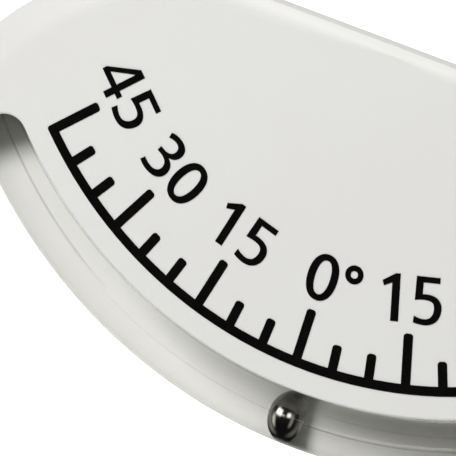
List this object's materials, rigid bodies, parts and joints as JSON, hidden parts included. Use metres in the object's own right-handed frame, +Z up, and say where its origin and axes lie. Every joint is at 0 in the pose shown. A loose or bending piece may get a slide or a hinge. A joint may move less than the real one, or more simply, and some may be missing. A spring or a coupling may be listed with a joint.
{
  "type": "ball inclinometer",
  "caption": "Flat self-adhesive inclinometer: a steel ball in a bent, oil-filled clear vial rolls along a printed arc and shows the heel angle up to 45 degrees each way.",
  "frame": {"origin": "centre of the foam pad's rear face, which sticks to the wall or panel", "axes": "+Z up with the zero reading at the bottom, +X to the viewer's right, +Y into the wall; the scale faces -Y"},
  "size_m": [0.1122, 0.0105, 0.0526],
  "materials": {
    "cover_plastic": "fine satin moulded white",
    "base_plastic": "satin moulded white",
    "clear_vial": "polished clear",
    "plug_rubber": "smooth moulded black",
    "damping_oil": "clear oil",
    "ball_steel": "dark burnished steel",
    "black_ink": "screen-printed satin ink",
    "adhesive_foam": "closed-cell foam with an adhesive film"
  },
  "bodies": {
    "housing": {"front_cover": "cover_plastic", "base_tray": "base_plastic", "vial_tube": "clear_vial", "vial_plug_left": "plug_rubber", "vial_plug_right": "plug_rubber", "damping_fluid": "damping_oil", "scale_print": "black_ink", "foam_pad": "adhesive_foam"},
    "ball": {"ball": "ball_steel"}
  },
  "joints": [
    {"name": "ball_travel", "type": "hinge", "parent": "housing", "child": "ball", "pos_m": [0, -0.0056, 0.0365], "axis": [0, -1, 0], "range_deg": [-47, 47], "deforming": ["damping_fluid"]}
  ]
}
